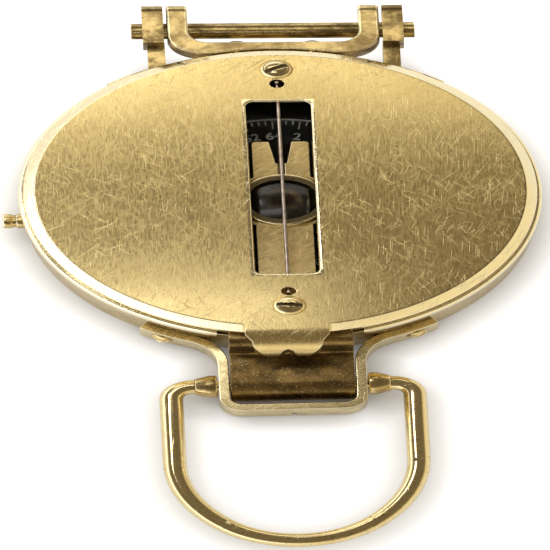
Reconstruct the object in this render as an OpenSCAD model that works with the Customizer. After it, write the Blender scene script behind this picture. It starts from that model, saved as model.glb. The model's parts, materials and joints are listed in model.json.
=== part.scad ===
// Folding sighting compass: a drum case with a floating card, a slotted lid with a sight wire,
// a lens eyepiece that folds under the lid, and a wire thumb ring.
// Millimetres. The origin is the centre of the case's flat underside. +Z is up, +Y points to the
// lid hinge and -Y to the thumb ring.

/* [Case] */
// Outer radius of the drum wall
case_r = 28.0; // [26:0.1:30]
// Height of the drum, up to the plane where the lid closes
case_h = 9.8; // [9.6:0.1:10.2]
// Thickness of the drum wall
wall_t = 1.6; // [1.4:0.1:2]
// Thickness of the screwed base plate
base_t = 1.2; // [1:0.1:1.4]

/* [Lid] */
// Radius of the lid's upper disc
lid_r = 28.0; // [27:0.1:30]
// Radius of the bead round the lid's skirt
bead_r = 28.55; // [28.1:0.05:30.5]
// Height of the lid's flat face above the base
lid_top = 14.5; // [14.3:0.1:15]
// Thickness of the lid's sheet
lid_t = 1.1; // [0.9:0.1:1.2]
// Width of the polished chamfer round the lid
lid_chamfer = 1.2; // [0.8:0.1:1.5]
// Width of the sight slot
slot_w = 7.0; // [6:0.1:8]
// Length of the sight slot
slot_l = 34.0; // [30:0.5:36]
// How far the slot's middle lies north of the lid's centre
slot_y = 0.6; // [0:0.1:1]
// Diameter of the sight wire
wire_d = 0.45; // [0.3:0.05:0.5]

/* [Hinge] */
// Distance from the case's axis to the hinge pin
pin_y = 32.95; // [32.8:0.05:33.5]
// Diameter of the hinge pin
pin_d = 3.0; // [2.4:0.1:3.0]
// Half the length of the hinge pin
pin_half = 15.5; // [15.2:0.1:17]
// Thickness of the hinge arms
arm_t = 2.3; // [2:0.1:2.3]
// Outer half width of the lid's yoke
yoke_half = 11.6; // [11.4:0.1:11.7]
// How far the hinge arms reach past the pin's axis
arm_reach = 4.6; // [3.4:0.1:4.6]

/* [Eyepiece] */
// Distance from the case's axis to the eyepiece pivot
pivot_y = 35.4; // [35.3:0.1:36]
// Height of the eyepiece pivot above the base
pivot_z = 3.1; // [3:0.05:3.2]
// Half width of the eyepiece's web
web_half = 6.8; // [6:0.1:6.8]
// Half width of the eyepiece's blade
blade_half = 3.2; // [3:0.1:3.4]
// Distance from the case's axis to the blade's tip
blade_tip = 10.5; // [9:0.1:12]
// Thickness of the eyepiece's plate
plate_t = 1.1; // [0.9:0.1:1.2]
// Diameter of the lens
lens_d = 7.8; // [7:0.1:8]

/* [Thumb ring] */
// Diameter of the ring's wire
ring_wire = 2.6; // [2.2:0.1:2.6]
// Half width of the ring, to the wire's centre
ring_half = 13.3; // [12.8:0.1:14]
// Distance from the pivot to the middle of the ring's far wire
ring_reach = 30.6; // [30:0.1:32]
// Radius of the ring's far bend
ring_far_r = 11.7; // [11.2:0.1:12]

/* [Card] */
// Radius of the compass card
card_r = 21.0; // [19:0.5:21]
// Height of the card's face above the base
card_z = 7.0; // [6.9:0.05:7.05]

/* [Hidden] */
$fn = 72;

eps = 0.05;              // overshoot of every cutting tool
fit = 0.05;              // radial running clearance
seat = 0.02;             // radial gap round a fixed screw or pin

// Case
drum_in = case_r - wall_t;
rebate_r = case_r - 1.4;
flange_r = case_r - 4.2;
flange_t = 1.0;
shelf_z = case_h - 2.2;
shelf_t = 0.8;
shelf_r = drum_in - 1.0;
foot_chamfer = 0.5;
base_screw_r = rebate_r - 1.4;
gasket_t = 0.15;
crystal_t = 1.3;
crystal_r = drum_in - 0.1;
crystal_z = shelf_z + gasket_t;
snap_t = 0.6;
snap_in = crystal_r - 1.1;

// Lid
bead_z = case_h + 0.1;   // underside of the lid's skirt
groove_z = 12.0;         // turned line between the skirt's bead and the upper disc
groove_h = 0.25;
groove_d = 0.3;
lid_under = lid_top - lid_t;
skirt_in = lid_r - 1.4;
lid_notch = 8.0;         // half width of the skirt's opening over the eyepiece
hole_dy = 20.5;          // wire holes, from the slot's middle
hole_d = 1.6;
wire_screw_dy = 23.35;   // clamping screws, from the slot's middle
wire_z = lid_under - wire_d / 2 - 0.03;
tab_half = 4.6;          // half width of the thumb tab at its root
tab_r = 4.6;             // outer radius of the tab's downward curl
tab_y = 27.1;            // where the curl starts
tab_lobe = 1.75;         // half the spacing of the tab's two lobes
tab_x = -0.4;            // the tab sits a little to the left

// Hinge
pin_z = case_h;
arm_low = 7.0;
arm_high = 12.6;
bar_low = 8.2;           // the yoke's bar is cut away below, to swing past the drum
bar_y = 30.05;           // north face of the yoke's bar
yoke_in = yoke_half - arm_t;
yoke_foot = 27.8;         // south edge of the yoke, inside the lid's bead
yoke_round = 3.6;         // the yoke's outer corners, seen from above
yoke_round_in = 2.2;      // its inner corners
ear_in = yoke_half + 0.35;
ear_out = ear_in + arm_t;
ear_south = 30.0;
neck_t = 1.9;
neck_in = 11.9;
neck_low = 3.0;
neck_high = 9.3;
foot_t = 1.2;            // thickness of the feet that hug the drum
foot_gap = 0.02;
ear_foot_from = 24;      // angles of the ear's foot, from north
ear_foot_to = 39;
ear_screw_at = 34;
ear_screw_z = 6.0;
yoke_screw_x = 4.1;
yoke_screw_z = 10.9;

// Strap
strap_out = 8.1;
strap_t = 1.2;
strap_low = 0.6;
strap_high = 5.6;
strap_south = 40.8;
strap_corner = 2.6;
flare_r = 5.0;           // concave sweep of the strap's arms on to the drum
flare_y = sqrt(pow(case_r + strap_t + flare_r, 2) - pow(strap_out + flare_r, 2));
flare_turn = atan2(flare_y, strap_out + flare_r);
strap_foot_to = 34;      // angle of the foot's end, from south
strap_screw_at = 28.5;
spigot_d = 1.8;
mark_w = 0.4;            // index line cut in the lower half of the strap's south face
mark_h = 2.2;
mark_depth = 0.25;

// Eyepiece
barrel_r = 2.95;
web_y = 29.75;           // south face of the web's upright
plate_top = 11.5;
lens_y = -1.25;
boss_r = 5.7;
lens_flange_r = 5.15;
lens_tube_r = lens_d / 2 + 0.35;
lens_z = 11.25;
flare_from = 26.0;       // where the blade starts to widen
flare_to = 20.5;
notch_w = 1.2;            // the sighting notch, at its inner end and at the blade's tip
notch_mouth = 2.4;
notch_end = 6.2;
slit_w = 0.65;

// Plunger
plunger_y = -2.65;
plunger_z = 4.7;
plunger_out = 30.3;
knob_d = 2.7;
bush_d = 4.0;
bush_in = 23.9;
bush_floor = 0.8;
stem_d = 1.3;
knob_in = 27.0;
shoe_x = 22.25;
shoe_t = 1.6;

// Ring
ring_far_y = -pivot_y - ring_reach;
ring_side_y = -50.5;     // where the straight sides end
ring_bend = 2.4;         // bend at the ends of the sides
far_c = ring_far_y + ring_far_r;
side_r = (pow(far_c - ring_side_y, 2) + pow(ring_half, 2) - pow(ring_far_r, 2))
    / (2 * (ring_half - ring_far_r));
side_c = ring_half - side_r;
blend_turn = atan2(ring_side_y - far_c, -side_c);
lap = 0.2;               // how far the ring's stretches overlap
lap_turn = 1;
collar_in = strap_out + 0.15;
collar_t = 0.9;
collar_d = 4.2;
collar_cone = 1.6;       // length of the taper that runs out on to the ring's wire
collar_lip = 0.2;        // wall at the taper's thin end
spigot_in = 5.0;

// A cylinder along X, from x0 to x1, through (y, z)
module rod_x(x0, x1, y, z, r) {
    translate([x0, y, z]) rotate([0, 90, 0]) cylinder(r = r, h = x1 - x0);
}

// A cylinder along Y, from y0 to y1, through (x, z)
module rod_y(y0, y1, x, z, r) {
    translate([x, y0, z]) rotate([-90, 0, 0]) cylinder(r = r, h = y1 - y0);
}

// A slotted round-head screw along +Z, its head standing on z = 0
module slotted_screw(head_r, head_h, shank_r, shank_l, turn = 0) {
    dome_r = (head_r * head_r + head_h * head_h) / (2 * head_h);
    slot_t = head_r * 0.32;
    slot_depth = head_h * 0.5;
    difference() {
        intersection() {
            translate([0, 0, head_h - dome_r]) sphere(r = dome_r);
            cylinder(r = head_r, h = head_h + eps);
        }
        rotate([0, 0, turn]) translate([-head_r, -slot_t / 2, head_h - slot_depth])
            cube([2 * head_r, slot_t, head_h]);
    }
    translate([0, 0, -shank_l]) cylinder(r = shank_r, h = shank_l);
}

// A flat rectangle with round corners, centred on x = 0, from y0 to y1
module round_rect(half, y0, y1, r) {
    square_w = half - r;
    translate([-square_w, y0]) square([2 * square_w, y1 - y0]);
    translate([-half, y0 + r]) square([2 * half, y1 - y0 - 2 * r]);
    for (sx = [-1, 1], y = [y0 + r, y1 - r]) translate([sx * square_w, y]) circle(r = r);
}

// A sector of a flat ring, from angle a0 to a1, counted from +X
module ring_sector(r0, r1, a0, a1) {
    reach = 2 * r1;
    mid = (a0 + a1) / 2;
    intersection() {
        difference() {
            circle(r = r1);
            circle(r = r0);
        }
        polygon([
            [0, 0],
            [reach * cos(a0), reach * sin(a0)],
            [reach * cos(mid), reach * sin(mid)],
            [reach * cos(a1), reach * sin(a1)]
        ]);
    }
}

module case_drum() {
    color("darkgoldenrod") difference() {
        rotate_extrude() polygon([
            [rebate_r, 0], [case_r - foot_chamfer, 0], [case_r, foot_chamfer],
            [case_r, case_h], [drum_in, case_h], [drum_in, shelf_z], [shelf_r, shelf_z],
            [shelf_r, shelf_z - shelf_t], [drum_in, shelf_z - shelf_t],
            [drum_in, base_t + flange_t], [flange_r, base_t + flange_t],
            [flange_r, base_t], [rebate_r, base_t]
        ]);
        rod_x(-case_r - 1, -flange_r, plunger_y, plunger_z, bush_d / 2 + seat);
        for (a = [90, 210, 330]) rotate([0, 0, a]) translate([base_screw_r, 0, base_t - eps])
            cylinder(r = 0.6 + seat, h = flange_t + 2 * eps);
        for (s = [-1, 1]) {
            rotate([0, 0, s * ear_screw_at]) rod_y(drum_in - 1, case_r + 1, 0, ear_screw_z, 0.7 + seat);
            rotate([0, 0, 180 + s * strap_screw_at])
                rod_y(drum_in - 1, case_r + 1, 0, pivot_z, 0.7 + seat);
        }
    }
}

module base_plate() {
    color("goldenrod") difference() {
        cylinder(r = rebate_r - seat, h = base_t);
        for (a = [90, 210, 330]) rotate([0, 0, a]) translate([base_screw_r, 0, -eps]) {
            cylinder(r = 0.6 + seat, h = base_t + 2 * eps);
            cylinder(r1 = 1.1 + seat + eps, r2 = 0.6 + seat, h = 0.5 + eps);
        }
    }
}

module base_screws() {
    color("gold") for (a = [90, 210, 330]) rotate([0, 0, a]) translate([base_screw_r, 0, 0])
        difference() {
            union() {
                cylinder(r1 = 1.1, r2 = 0.6, h = 0.5);
                cylinder(r = 0.6, h = base_t + flange_t);
            }
            translate([-2, -0.2, -eps]) cube([4, 0.4, 0.3 + eps]);
        }
}

module pivot_post() {
    color("silver") {
        translate([0, 0, base_t]) cylinder(r = 2.6, h = 0.8);
        translate([0, 0, base_t + 0.8]) cylinder(r = 1.1, h = 2.2);
        translate([0, 0, base_t + 3.0]) cylinder(r1 = 1.1, r2 = 0.12, h = 2.2);
    }
}

module crystal_gasket() {
    color("dimgray") translate([0, 0, shelf_z]) difference() {
        cylinder(r = crystal_r, h = gasket_t);
        translate([0, 0, -eps]) cylinder(r = shelf_r + 0.1, h = gasket_t + 2 * eps);
    }
}

module crystal() {
    color("lightblue", 0.4) translate([0, 0, crystal_z]) cylinder(r = crystal_r, h = crystal_t);
}

module crystal_ring() {
    color("gold") translate([0, 0, crystal_z + crystal_t]) difference() {
        cylinder(r = drum_in - seat, h = snap_t);
        translate([0, 0, -eps]) cylinder(r = snap_in, h = snap_t + 2 * eps);
    }
}

// One hinge ear at +X: the eye round the pin, the neck below it and the foot on the drum
module ear_right() {
    eye_r = 1.6;
    reach_y = pin_y + arm_reach;
    difference() {
        union() {
            translate([ear_in, 0, 0]) rotate([90, 0, 90]) linear_extrude(ear_out - ear_in) {
                translate([ear_south, arm_low])
                    square([reach_y - eye_r - ear_south, arm_high - arm_low]);
                translate([ear_south, arm_low + eye_r])
                    square([reach_y - ear_south, arm_high - arm_low - 2 * eye_r]);
                for (z = [arm_low + eye_r, arm_high - eye_r])
                    translate([reach_y - eye_r, z]) circle(r = eye_r);
            }
            translate([neck_in, 0, neck_low]) linear_extrude(neck_high - neck_low) {
                difference() {
                    translate([0, case_r * cos(ear_foot_from) - 2])
                        square([neck_t, ear_south + 1 - case_r * cos(ear_foot_from) + 2]);
                    translate([-neck_in, 0]) circle(r = case_r + foot_gap);
                }
            }
            translate([0, 0, neck_low]) linear_extrude(neck_high - neck_low)
                ring_sector(case_r + foot_gap, case_r + foot_t, 90 - ear_foot_to, 90 - ear_foot_from);
        }
        rod_x(ear_in - 1, ear_out + 1, pin_y, pin_z, pin_d / 2 + seat);
        rotate([0, 0, -ear_screw_at])
            rod_y(case_r - 1, case_r + foot_t + 1, 0, ear_screw_z, 0.7 + seat);
    }
}

module hinge_ears() {
    color("goldenrod") {
        ear_right();
        mirror([1, 0, 0]) ear_right();
    }
}

module ear_screws() {
    color("gold") for (s = [-1, 1]) rotate([0, 0, s * ear_screw_at])
        translate([0, case_r + foot_t + 0.02, ear_screw_z]) rotate([-90, 0, 0])
            slotted_screw(1.3, 0.6, 0.7, foot_t + wall_t - 0.1, 20);
}

// Half of the strap's outline at +X, seen from above, with south down
module strap_half() {
    arm_in = strap_out - strap_t;
    difference() {
        translate([-1, -strap_south]) square([strap_out + 1, strap_south - flare_y + 0.05]);
        translate([-2, -strap_south + strap_t])
            square([arm_in + 2 - strap_corner + strap_t, strap_south]);
        translate([-2, -strap_south + strap_corner]) square([arm_in + 2, strap_south]);
        translate([arm_in + strap_t - strap_corner, -strap_south + strap_corner])
            circle(r = strap_corner - strap_t);
        difference() {
            translate([strap_out - strap_corner, -strap_south - 1])
                square([strap_corner + 1, strap_corner + 1]);
            translate([strap_out - strap_corner, -strap_south + strap_corner])
                circle(r = strap_corner);
        }
    }
    translate([strap_out + flare_r, -flare_y])
        ring_sector(flare_r, flare_r + strap_t, 179.6 - flare_turn, 180);
    ring_sector(case_r + foot_gap, case_r + strap_t, -flare_turn - 0.6, -90 + strap_foot_to);
}

module rear_strap() {
    color("goldenrod") difference() {
        translate([0, 0, strap_low]) linear_extrude(strap_high - strap_low) {
            strap_half();
            mirror([1, 0]) strap_half();
        }
        rod_x(-strap_out - 1, strap_out + 1, -pivot_y, pivot_z, spigot_d / 2 + fit);
        for (s = [-1, 1]) rotate([0, 0, 180 + s * strap_screw_at])
            rod_y(case_r - 1, case_r + strap_t + 1, 0, pivot_z, 0.7 + seat);
        translate([-mark_w / 2, -strap_south - mark_depth, strap_low - eps])
            cube([mark_w, 2 * mark_depth, mark_h + eps]);
    }
}

module strap_screws() {
    color("gold") for (s = [-1, 1]) rotate([0, 0, 180 + s * strap_screw_at])
        translate([0, case_r + strap_t + 0.02, pivot_z]) rotate([-90, 0, 0])
            slotted_screw(1.35, 0.7, 0.7, strap_t + wall_t - 0.1, 35);
}

module hinge_pin() {
    stub_slot = 0.5;
    color("peru") difference() {
        rod_x(-pin_half, pin_half, pin_y, pin_z, pin_d / 2);
        for (s = [-1, 1]) translate([s * pin_half - 0.4, pin_y - 2, pin_z - stub_slot / 2])
            cube([0.8, 4, stub_slot]);
    }
}

module plunger_bush() {
    color("gold") difference() {
        rod_x(-case_r + 0.15, -bush_in, plunger_y, plunger_z, bush_d / 2);
        rod_x(-case_r - 1, -bush_in - bush_floor, plunger_y, plunger_z, knob_d / 2 + fit);
        rod_x(-case_r, -bush_in + 1, plunger_y, plunger_z, stem_d / 2 + fit);
    }
}

module plunger_spring() {
    coils = 4;
    spring_wire = 0.24;
    room = knob_in - bush_in - bush_floor;
    pitch = (room - 2 * spring_wire) / coils;
    color("silver") for (i = [0 : coils])
        translate([-knob_in + spring_wire + i * pitch, plunger_y, plunger_z]) rotate([0, 90, 0])
            rotate_extrude() translate([1.0, 0]) circle(r = spring_wire / 2, $fn = 16);
}

module lock_plunger() {
    color("goldenrod") {
        difference() {
            rod_x(-plunger_out, -knob_in, plunger_y, plunger_z, knob_d / 2);
            translate([-plunger_out - 1, plunger_y - 2, plunger_z - 0.25]) cube([1.6, 4, 0.5]);
            difference() {
                rod_x(-plunger_out + 1.0, -plunger_out + 1.4, plunger_y, plunger_z, knob_d);
                rod_x(-plunger_out, -plunger_out + 2, plunger_y, plunger_z, knob_d / 2 - 0.2);
            }
        }
        rod_x(-knob_in, -shoe_x - shoe_t / 2, plunger_y, plunger_z, stem_d / 2);
        translate([-shoe_x - shoe_t, plunger_y - 1.5, plunger_z - 0.9]) cube([shoe_t, 3, 3.1]);
    }
}

module compass_card() {
    color("black") difference() {
        translate([0, 0, card_z - 0.3]) cylinder(r = card_r, h = 0.3);
        translate([0, 0, card_z - 1]) cylinder(r = 1.6 + seat, h = 2);
    }
}

module card_magnets() {
    color("gray") for (s = [-1, 1])
        translate([s * 5 - 1.1, -9, card_z - 1.1]) cube([2.2, 18, 0.8]);
}

module card_hub() {
    color("gold") difference() {
        union() {
            translate([0, 0, card_z - 1.4]) cylinder(r = 2.6, h = 1.1);
            translate([0, 0, card_z - 0.3]) cylinder(r = 1.6, h = 0.6);
        }
        translate([0, 0, card_z - 2]) cylinder(r = 0.95, h = 3);
    }
}

module card_jewel() {
    color("crimson") difference() {
        translate([0, 0, card_z - 1.0]) cylinder(r = 0.93, h = 1.2);
        translate([0, 0, card_z - 1.0 - eps]) cylinder(r1 = 0.8, r2 = 0.02, h = 0.9);
    }
}

// The lid's turned shell, before it is cut
module lid_turned() {
    bead_soft = 0.35;
    rotate_extrude() polygon([
        [0, lid_under], [skirt_in - 0.4, lid_under], [skirt_in, lid_under - 0.4],
        [skirt_in, bead_z], [bead_r - 0.2, bead_z], [bead_r, bead_z + 0.2],
        [bead_r, groove_z - groove_h - bead_soft], [bead_r - bead_soft, groove_z - groove_h],
        [lid_r - groove_d, groove_z - groove_h], [lid_r - groove_d, groove_z],
        [lid_r, groove_z], [lid_r, lid_top - lid_chamfer], [lid_r - lid_chamfer, lid_top],
        [0, lid_top]
    ]);
}

// The thumb tab: two lobes with a notch between them, curling down past the lid's edge
module lid_tab() {
    root_y = -lid_r + 2.2;
    tip_y = -tab_y - tab_r;
    lobe_r = 2.1;
    intersection() {
        translate([tab_x, 0, 0]) linear_extrude(lid_top + 1) difference() {
            union() {
                polygon([
                    [-tab_half, root_y], [-tab_half, -tab_y - 1.2], [-tab_lobe - 1.6, tip_y + 1.4],
                    [-tab_lobe, tip_y + 0.9], [tab_lobe, tip_y + 0.9], [tab_lobe + 1.6, tip_y + 1.4],
                    [tab_half, -tab_y - 1.2], [tab_half, root_y]
                ]);
                for (s = [-1, 1]) translate([s * tab_lobe, tip_y + lobe_r]) circle(r = lobe_r);
            }
            translate([0, tip_y]) circle(r = 0.8);
        }
        translate([-tab_half - 1, 0, 0]) rotate([90, 0, 90]) linear_extrude(2 * tab_half + 2) {
            translate([-tab_y, lid_top - tab_r]) ring_sector(tab_r - lid_t, tab_r, 90, 176);
            translate([-tab_y - eps, lid_under]) square([tab_y - 24, lid_t]);
        }
    }
}

module lid_cover() {
    color("khaki") difference() {
        union() {
            lid_turned();
            lid_tab();
        }
        translate([0, 0, lid_under - 1]) linear_extrude(3)
            round_rect(slot_w / 2, slot_y - slot_l / 2, slot_y + slot_l / 2, 0.9);
        for (s = [-1, 1]) {
            translate([0, slot_y + s * hole_dy, lid_under - 1]) cylinder(r = hole_d / 2, h = 3);
            translate([0, slot_y + s * wire_screw_dy, lid_under - 1])
                cylinder(r = 0.8 + seat, h = 3);
            rod_y(skirt_in - 1, bead_r + 1, s * yoke_screw_x, yoke_screw_z, 0.6 + seat);
        }
        translate([-lid_notch, -bead_r - 1, bead_z - 1])
            cube([2 * lid_notch, 6, groove_z - groove_h - bead_z + 1]);
    }
}

// The yoke's outline seen from above, north up
module yoke_outline() {
    difference() {
        round_rect(yoke_half, yoke_foot, pin_y + arm_reach + 5, yoke_round);
        circle(r = bead_r + 0.02);
        round_rect(yoke_in, bar_y, pin_y + arm_reach + 12, yoke_round_in);
        translate([-yoke_half - 1, pin_y + arm_reach]) square([2 * yoke_half + 2, 10]);
    }
}

module lid_yoke() {
    eye_r = 1.6;
    reach_y = pin_y + arm_reach;
    color("goldenrod") difference() {
        translate([0, 0, arm_low]) linear_extrude(arm_high - arm_low) yoke_outline();
        translate([-yoke_half - 1, 20, arm_low - 1])
            cube([2 * yoke_half + 2, bar_y + 0.6 - 20, bar_low - arm_low + 1]);
        rod_x(-yoke_half - 1, yoke_half + 1, pin_y, pin_z, pin_d / 2 + fit);
        for (z = [arm_low + eye_r, arm_high - eye_r], up = [-1, 1])
            if ((z > pin_z) == (up > 0)) difference() {
                translate([-yoke_half - 1, reach_y - eye_r, z + (up > 0 ? 0 : -eye_r - 1)])
                    cube([2 * yoke_half + 2, eye_r + 1, eye_r + 1]);
                rod_x(-yoke_half - 2, yoke_half + 2, reach_y - eye_r, z, eye_r);
            }
        for (s = [-1, 1]) rod_y(bead_r - 2, bar_y + 1, s * yoke_screw_x, yoke_screw_z, 0.6 + seat);
    }
}

module yoke_screws() {
    color("gold") for (s = [-1, 1]) translate([s * yoke_screw_x, bar_y + 0.01, yoke_screw_z])
        rotate([-90, 0, 0]) slotted_screw(1.25, 0.55, 0.6, 3.3, 0);
}

module sight_wire() {
    r = wire_d / 2;
    end_y = hole_dy + 0.2;
    color("silver") {
        rod_y(slot_y - end_y, slot_y + end_y, 0, wire_z, r);
        for (s = [-1, 1]) translate([0, slot_y + s * end_y, wire_z]) {
            sphere(r = r);
            cylinder(r = r, h = lid_top + r + 0.02 - wire_z);
            translate([0, 0, lid_top + r + 0.02 - wire_z]) sphere(r = r);
        }
    }
}

module wire_screws() {
    color("gold") {
        translate([0, slot_y + wire_screw_dy, lid_top + 0.02])
            slotted_screw(1.88, 1.0, 0.8, lid_t, 29);
        translate([0, slot_y - wire_screw_dy, lid_top + 0.02])
            slotted_screw(1.88, 1.0, 0.8, lid_t, -6);
    }
}

// The eyepiece seen from the side: barrel, shelf, upright and blade, with the pivot at the origin
module eyepiece_profile() {
    up_in = pivot_y - web_y;
    top = plate_top - pivot_z;
    bend = 1.6;
    circle(r = barrel_r);
    translate([0, barrel_r - plate_t]) square([up_in + plate_t - bend, plate_t]);
    translate([up_in + plate_t - bend, barrel_r + bend - plate_t])
        ring_sector(bend - plate_t, bend, -90, 0);
    translate([up_in, barrel_r + bend - plate_t])
        square([plate_t, top - barrel_r - 2 * bend + plate_t]);
    translate([up_in + bend, top - bend]) ring_sector(bend - plate_t, bend, 90, 180);
    translate([up_in + bend, top - plate_t])
        square([pivot_y + blade_tip - up_in - bend, plate_t]);
}

// The eyepiece's outline seen from above
module eyepiece_plan() {
    tip_r = 0.5;
    difference() {
        union() {
            polygon([
                [-web_half, -pivot_y - barrel_r - 1], [web_half, -pivot_y - barrel_r - 1],
                [web_half, -flare_from], [blade_half, -flare_to], [blade_half, 0],
                [-blade_half, 0], [-blade_half, -flare_to], [-web_half, -flare_from]
            ]);
            round_rect(blade_half, -2, blade_tip, tip_r);
            translate([0, lens_y]) circle(r = boss_r);
        }
        translate([0, lens_y]) circle(r = lens_tube_r + seat);
        polygon([
            [-notch_w / 2, notch_end], [notch_w / 2, notch_end],
            [notch_mouth / 2, blade_tip], [notch_mouth / 2, blade_tip + 1],
            [-notch_mouth / 2, blade_tip + 1], [-notch_mouth / 2, blade_tip]
        ]);
        translate([-slit_w / 2, 0]) square([slit_w, blade_tip]);
    }
}

module eyepiece_bracket() {
    color("goldenrod") difference() {
        intersection() {
            translate([-web_half - 1, -pivot_y, pivot_z]) rotate([90, 0, 90])
                linear_extrude(2 * web_half + 2) eyepiece_profile();
            linear_extrude(plate_top + 1) eyepiece_plan();
        }
        rod_x(-web_half - 1, web_half + 1, -pivot_y, pivot_z, spigot_d / 2 + fit);
    }
}

module lens_ring() {
    color("gold") translate([0, lens_y, 0]) difference() {
        union() {
            translate([0, 0, plate_top]) cylinder(r = lens_flange_r, h = 0.9);
            translate([0, 0, plate_top - plate_t - 0.3]) cylinder(r = lens_tube_r, h = plate_t + 0.3);
        }
        translate([0, 0, plate_top - 3]) cylinder(r = lens_d / 2, h = 6);
    }
}

module eyepiece_lens() {
    bulge_r = 13;
    lens_h = 2.0;
    rim = lens_d / 2 - 0.01;
    color("lightblue", 0.5) translate([0, lens_y, lens_z]) rotate_extrude() intersection() {
        translate([0, lens_h / 2 - bulge_r]) circle(r = bulge_r, $fn = 360);
        translate([0, bulge_r - lens_h / 2]) circle(r = bulge_r, $fn = 360);
        translate([0, -lens_h]) square([rim, 2 * lens_h]);
    }
}

// A stretch of the ring's wire bent round (x, y), from angle a0 for turn degrees
module wire_arc(x, y, r, a0, turn, wire_r = ring_wire / 2) {
    translate([x, y, pivot_z]) rotate([0, 0, a0]) rotate_extrude(angle = turn)
        translate([r, 0]) circle(r = wire_r, $fn = 32);
}

module ring_half_wire() {
    corner = ring_half - ring_bend;
    wire_arc(side_c, ring_side_y, side_r, -blend_turn, blend_turn, ring_wire / 2 - 0.01);
    rod_y(ring_side_y - lap, -pivot_y - ring_bend, ring_half, pivot_z, ring_wire / 2);
    wire_arc(corner, -pivot_y - ring_bend, ring_bend, 0, 90);
    rod_x(collar_in + collar_t, corner, -pivot_y, pivot_z, ring_wire / 2);
    rod_x(spigot_in, collar_in + collar_t + eps, -pivot_y, pivot_z, spigot_d / 2);
}

module thumb_ring() {
    color("khaki") {
        wire_arc(0, far_c, ring_far_r, blend_turn - 180 - lap_turn, 180 - 2 * blend_turn + 2 * lap_turn);
        ring_half_wire();
        mirror([1, 0, 0]) ring_half_wire();
    }
}

module ring_collars() {
    cone_in = collar_in + collar_t;
    color("goldenrod") for (s = [0, 1]) mirror([s, 0, 0]) difference() {
        union() {
            rod_x(collar_in, cone_in, -pivot_y, pivot_z, collar_d / 2);
            translate([cone_in, -pivot_y, pivot_z]) rotate([0, 90, 0])
                cylinder(r1 = collar_d / 2, r2 = ring_wire / 2 + collar_lip, h = collar_cone);
        }
        rod_x(collar_in - 1, cone_in + 1, -pivot_y, pivot_z, spigot_d / 2 + seat);
        rod_x(cone_in, cone_in + collar_cone + 1, -pivot_y, pivot_z, ring_wire / 2 + seat);
    }
}

case_drum();
base_plate();
base_screws();
pivot_post();
crystal_gasket();
crystal();
crystal_ring();
hinge_ears();
ear_screws();
rear_strap();
strap_screws();
hinge_pin();
plunger_bush();
plunger_spring();
lock_plunger();
compass_card();
card_magnets();
card_hub();
card_jewel();
lid_cover();
lid_yoke();
yoke_screws();
sight_wire();
wire_screws();
eyepiece_bracket();
lens_ring();
eyepiece_lens();
thumb_ring();
ring_collars();
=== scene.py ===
"""The looks of a folding brass sighting compass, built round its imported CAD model."""

import json
import logging
import math
from collections.abc import Callable, Iterable
from dataclasses import dataclass
from enum import Enum

import bmesh
import bpy
from mathutils import Matrix, Vector

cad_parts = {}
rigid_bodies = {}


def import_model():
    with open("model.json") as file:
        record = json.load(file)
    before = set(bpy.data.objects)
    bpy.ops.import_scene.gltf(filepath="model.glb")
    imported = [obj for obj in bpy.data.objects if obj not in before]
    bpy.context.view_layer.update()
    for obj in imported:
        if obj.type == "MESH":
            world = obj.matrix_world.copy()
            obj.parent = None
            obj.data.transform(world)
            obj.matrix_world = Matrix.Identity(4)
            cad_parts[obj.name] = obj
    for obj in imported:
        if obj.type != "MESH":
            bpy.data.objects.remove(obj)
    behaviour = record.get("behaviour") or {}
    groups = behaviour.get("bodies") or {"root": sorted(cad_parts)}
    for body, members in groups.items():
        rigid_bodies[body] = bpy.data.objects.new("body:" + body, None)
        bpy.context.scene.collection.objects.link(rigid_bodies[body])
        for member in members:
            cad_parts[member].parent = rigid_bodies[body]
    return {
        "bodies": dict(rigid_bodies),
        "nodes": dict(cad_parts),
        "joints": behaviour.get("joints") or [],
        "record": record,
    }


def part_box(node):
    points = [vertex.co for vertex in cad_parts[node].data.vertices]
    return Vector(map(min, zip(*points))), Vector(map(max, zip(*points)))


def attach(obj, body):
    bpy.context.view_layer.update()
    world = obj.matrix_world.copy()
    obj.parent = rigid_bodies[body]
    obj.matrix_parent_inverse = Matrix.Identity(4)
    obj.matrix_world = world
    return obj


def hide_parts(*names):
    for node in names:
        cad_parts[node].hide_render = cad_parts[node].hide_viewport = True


LOG = logging.getLogger("compass")
MM = 0.001
WORN_SHEEN = "worn"
Colour = tuple[float, float, float]
Place = tuple[float, float, float]
Node = bpy.types.Node
Socket = bpy.types.NodeSocket
Piece = bpy.types.Object


class Effect(Enum):
    """The shared shader node groups."""

    HAIRLINES = "Hairlines"
    RUBBING = "Rubbing"
    PATINA = "Patina"
    BAND = "RadialBand"
    SPOT = "Spot"
    SLOT_RIM = "SlotRim"


class Lay(Enum):
    """Which way a finish's rubbing runs, in radians from +Y."""

    ALONG_Y = 0.0
    ALONG_X = math.pi / 2
    SLANT = 0.9


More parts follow.
